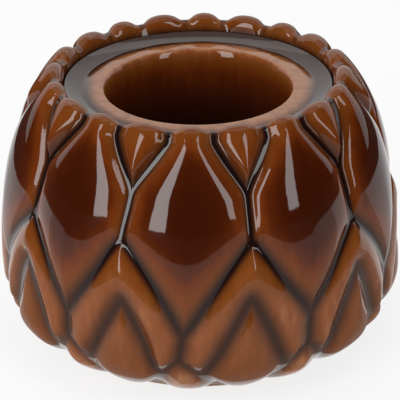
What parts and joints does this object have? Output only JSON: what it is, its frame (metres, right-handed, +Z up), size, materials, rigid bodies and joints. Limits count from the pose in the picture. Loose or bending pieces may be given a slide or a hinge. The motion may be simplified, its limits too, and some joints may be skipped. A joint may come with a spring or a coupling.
{
  "type": "artichoke votive holder",
  "caption": "Squat glazed ceramic candle holder shaped like an artichoke, with overlapping relief leaves, a scalloped crown and a round cup let into the top for a votive or tealight.",
  "frame": {"origin": "middle of the surface that the felt pads stand on", "axes": "+Z up through the middle of the cup, and the front leaf faces -Y"},
  "size_m": [0.1004, 0.0994, 0.07],
  "materials": {
    "amber_glaze": "glossy amber-brown glaze, darker in the grooves and thinner on the edges",
    "cup_glaze": "the same glossy glaze, plain on the ledge and darker inside the cup",
    "felt": "dark felt"
  },
  "bodies": {
    "root": {"leaf_shell": "amber_glaze", "candle_cup": "cup_glaze", "felt_pad_1": "felt", "felt_pad_2": "felt", "felt_pad_3": "felt", "felt_pad_4": "felt"}
  },
  "joints": []
}
